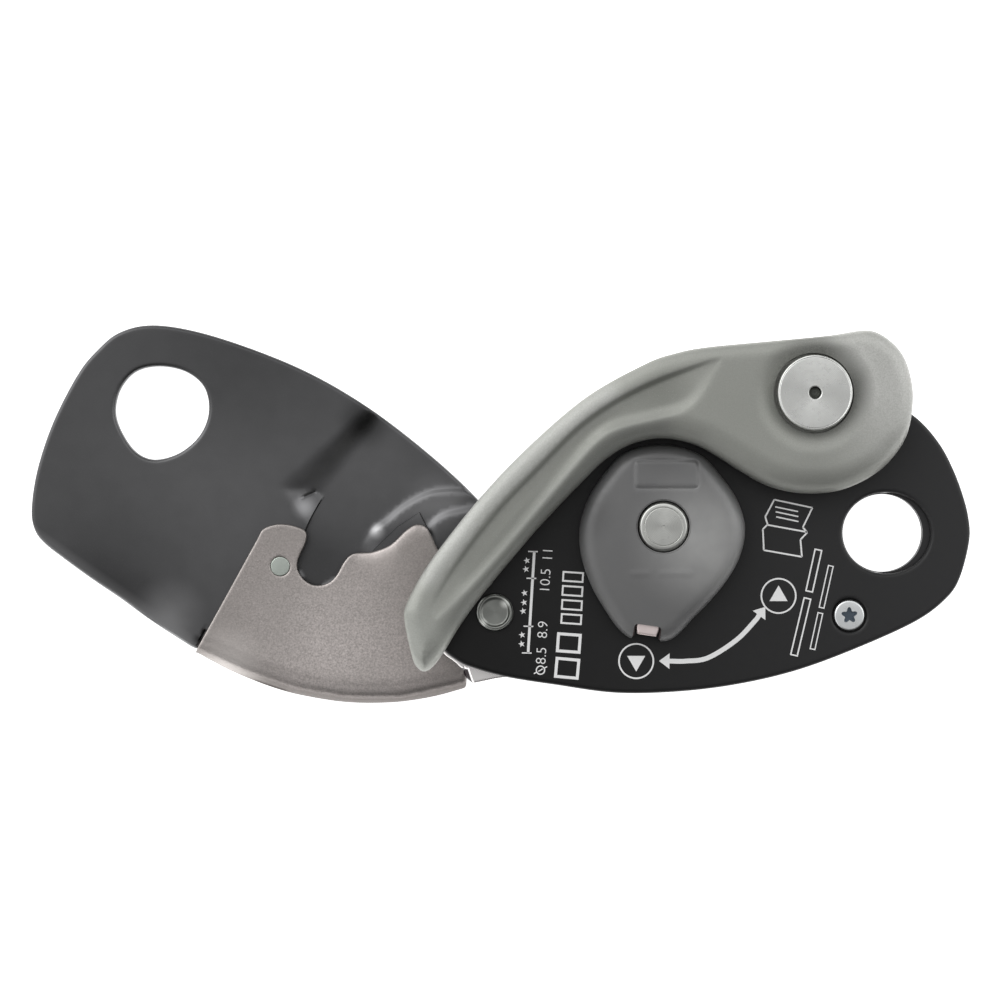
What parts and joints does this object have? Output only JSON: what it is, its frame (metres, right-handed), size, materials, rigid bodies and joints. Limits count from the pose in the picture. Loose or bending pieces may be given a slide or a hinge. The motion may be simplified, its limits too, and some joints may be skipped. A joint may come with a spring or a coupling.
{
  "type": "assisted braking belay device",
  "caption": "Assisted braking rope device with a swing-open side plate, cam, folding release handle and selector knob.",
  "frame": {"origin": "centre of the cam axle's lower end face, on the cam axle's axis", "axes": "+Z along the cam axle, towards the outer face of the fixed side plate; +X towards the fixed plate's carabiner hole, along the device's length; +Y towards the handle pin"},
  "size_m": [0.2003, 0.0819, 0.0357],
  "materials": {
    "black_anodised": "satin black anodised aluminium",
    "dark_grey_anodised": "dark grey satin anodised",
    "brushed_stainless": "fine brushed, slightly warm",
    "polished_stainless": "polished",
    "handle_grey": "satin fine-grained greenish grey",
    "knob_grey": "satin",
    "plated_steel": "turned and zinc plated",
    "bare_aluminium": "satin",
    "spring_steel": "drawn wire",
    "bearing_bronze": "sintered"
  },
  "bodies": {
    "frame": {"fixed_side_plate": "black_anodised", "friction_shoe": "polished_stainless", "shoe_rivet": "bare_aluminium", "pivot_rivet": "bare_aluminium", "pivot_wave_washer": "spring_steel", "cam_axle": "plated_steel", "cam_return_spring": "spring_steel", "stop_post": "brushed_stainless", "stop_screw": "plated_steel", "handle_bushing": "bearing_bronze"},
    "side_plate": {"moving_side_plate": "dark_grey_anodised", "moving_wear_plate": "brushed_stainless", "wear_plate_rivet_outer": "bare_aluminium", "wear_plate_rivet_inner": "bare_aluminium"},
    "cam": {"cam": "polished_stainless", "cam_bushing": "bearing_bronze", "cam_tail_pin": "spring_steel"},
    "handle": {"handle_lever": "handle_grey", "handle_pin": "plated_steel", "handle_washer": "knob_grey", "release_dog": "brushed_stainless", "dog_retaining_ring": "spring_steel", "handle_return_spring": "spring_steel"},
    "selector": {"selector_knob": "knob_grey", "detent_ball": "polished_stainless", "detent_spring": "spring_steel"},
    "lock_button": {"lock_button": "plated_steel", "lock_button_spring": "spring_steel"}
  },
  "joints": [
    {"name": "side_plate_swing", "type": "hinge", "parent": "frame", "child": "side_plate", "pos_m": [-0.03505, -0.018, 0], "axis": [0, 0, 1], "range_deg": [-138.5, 15]},
    {"name": "cam_pivot", "type": "hinge", "parent": "frame", "child": "cam", "pos_m": [0, 0, 0], "axis": [0, 0, 1], "range_deg": [-22, 2]},
    {"name": "handle_pull", "type": "hinge", "parent": "frame", "child": "handle", "pos_m": [0.0308, 0.0276, 0], "axis": [0, 0, -1], "range_deg": [0, 150]},
    {"name": "selector_turn", "type": "hinge", "parent": "frame", "child": "selector", "pos_m": [0, 0, 0], "axis": [0, 0, 1], "range_deg": [0, 65]},
    {"name": "lock_button_press", "type": "slide", "parent": "selector", "child": "lock_button", "axis": [0.15, 0.9887, 0], "range_m": [0, 0.0012]}
  ]
}
